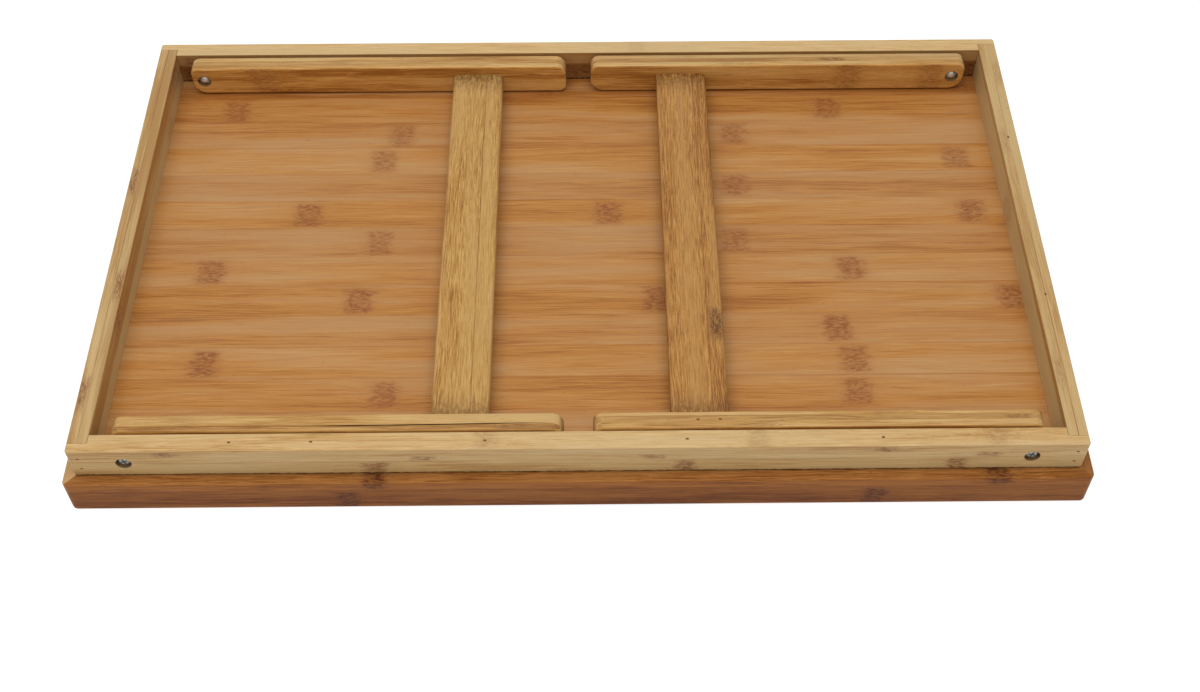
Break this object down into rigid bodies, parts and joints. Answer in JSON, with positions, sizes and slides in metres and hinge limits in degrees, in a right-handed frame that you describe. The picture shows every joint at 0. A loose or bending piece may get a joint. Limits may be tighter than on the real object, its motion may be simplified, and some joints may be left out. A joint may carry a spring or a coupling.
{
  "type": "folding bed tray table",
  "caption": "Bamboo bed tray table lying upside down, a raised-rim tray with an apron frame and two leg frames folded flat inside it on pivot bolts.",
  "frame": {"origin": "centre of the tray's mouth, in the plane that the upturned tray rests on", "axes": "+X along the long side, +Y from the front rail to the back rail, +Z out of the tray's underside; the table is stored upside down as pictured, so in use it is turned over and its +Z points down"},
  "size_m": [0.5, 0.3, 0.0422],
  "materials": {
    "panel_bamboo": "satin lacquered caramel bamboo, strips along the long side",
    "rim_bamboo": "satin lacquered carbonised bamboo",
    "apron_bamboo": "satin lacquered natural bamboo, laminated",
    "leg_bamboo": "satin lacquered natural bamboo, laminated",
    "crossbar_bamboo": "satin lacquered natural bamboo, laminated",
    "bolt_steel": "zinc plated",
    "washer_steel": "dull zinc plated",
    "brad_steel": "dull wire"
  },
  "bodies": {
    "tray": {"tabletop_panel": "panel_bamboo", "rim_front": "rim_bamboo", "rim_back": "rim_bamboo", "rim_left": "rim_bamboo", "rim_right": "rim_bamboo", "apron_front": "apron_bamboo", "apron_back": "apron_bamboo", "apron_left": "apron_bamboo", "apron_right": "apron_bamboo", "corner_brads": "brad_steel", "apron_brads": "brad_steel", "pivot_bolt_left_front": "bolt_steel", "pivot_bolt_left_back": "bolt_steel", "pivot_bolt_right_front": "bolt_steel", "pivot_bolt_right_back": "bolt_steel", "pivot_nut_left_front": "bolt_steel", "pivot_nut_left_back": "bolt_steel", "pivot_nut_right_front": "bolt_steel", "pivot_nut_right_back": "bolt_steel", "pivot_washer_left_front": "washer_steel", "pivot_washer_left_back": "washer_steel", "pivot_washer_right_front": "washer_steel", "pivot_washer_right_back": "washer_steel"},
    "left_leg_frame": {"left_leg_front": "leg_bamboo", "left_leg_back": "leg_bamboo", "left_crossbar": "crossbar_bamboo", "left_crossbar_brads": "brad_steel"},
    "right_leg_frame": {"right_leg_front": "leg_bamboo", "right_leg_back": "leg_bamboo", "right_crossbar": "crossbar_bamboo", "right_crossbar_brads": "brad_steel"}
  },
  "joints": [
    {"name": "left_leg_fold", "type": "hinge", "parent": "tray", "child": "left_leg_frame", "pos_m": [-0.2182, 0, 0.03225], "axis": [0, -1, 0], "range_deg": [0, 117.6]},
    {"name": "right_leg_fold", "type": "hinge", "parent": "tray", "child": "right_leg_frame", "pos_m": [0.2182, 0, 0.03225], "axis": [0, 1, 0], "range_deg": [0, 117.6]}
  ]
}
